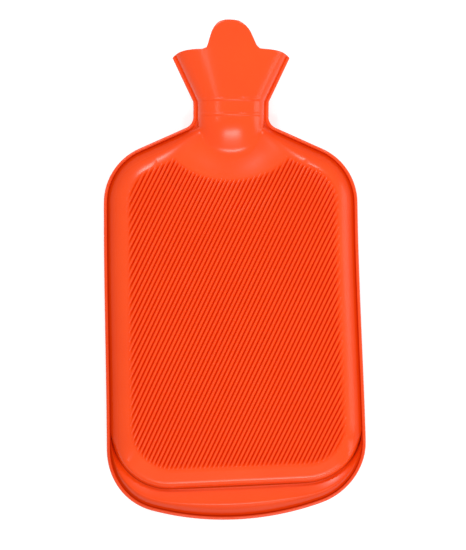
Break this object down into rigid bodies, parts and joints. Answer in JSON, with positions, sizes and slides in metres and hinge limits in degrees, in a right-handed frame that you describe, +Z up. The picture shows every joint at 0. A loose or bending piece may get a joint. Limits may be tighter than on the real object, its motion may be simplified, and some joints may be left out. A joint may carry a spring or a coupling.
{
  "type": "rubber hot water bottle",
  "caption": "Flat ribbed rubber bag for hot water, with a funnel neck, a hanging tab and a screw stopper that turns out of a threaded socket.",
  "frame": {"origin": "middle of the bottle's length and width, on the surface that its back panel lies on", "axes": "+Y along the bottle towards the hanging tab, +Z up from the back panel to the ribbed front, +X across"},
  "size_m": [0.1954, 0.379, 0.0349],
  "materials": {
    "orange_rubber": "glossy moulded natural rubber, orange-red",
    "socket_plastic": "natural moulded plastic",
    "stopper_plastic": "moulded plastic, softly glossy",
    "washer_rubber": "matt moulded rubber"
  },
  "bodies": {
    "bag": {"bottle": "orange_rubber", "neck_insert": "socket_plastic"},
    "washer": {"sealing_washer": "washer_rubber"},
    "plug": {"stopper": "stopper_plastic"}
  },
  "joints": [
    {"name": "stopper_rise", "type": "slide", "parent": "bag", "child": "washer", "axis": [0, 1, 0], "range_m": [0, 0.014]},
    {"name": "stopper_turn", "type": "hinge", "parent": "washer", "child": "plug", "pos_m": [0, 0.132, 0.017], "axis": [0, 1, 0], "range_deg": [0, 1260]}
  ],
  "couplings": [
    {"joint": "stopper_turn", "follows": "stopper_rise", "rad_per_m": 1570.8}
  ]
}
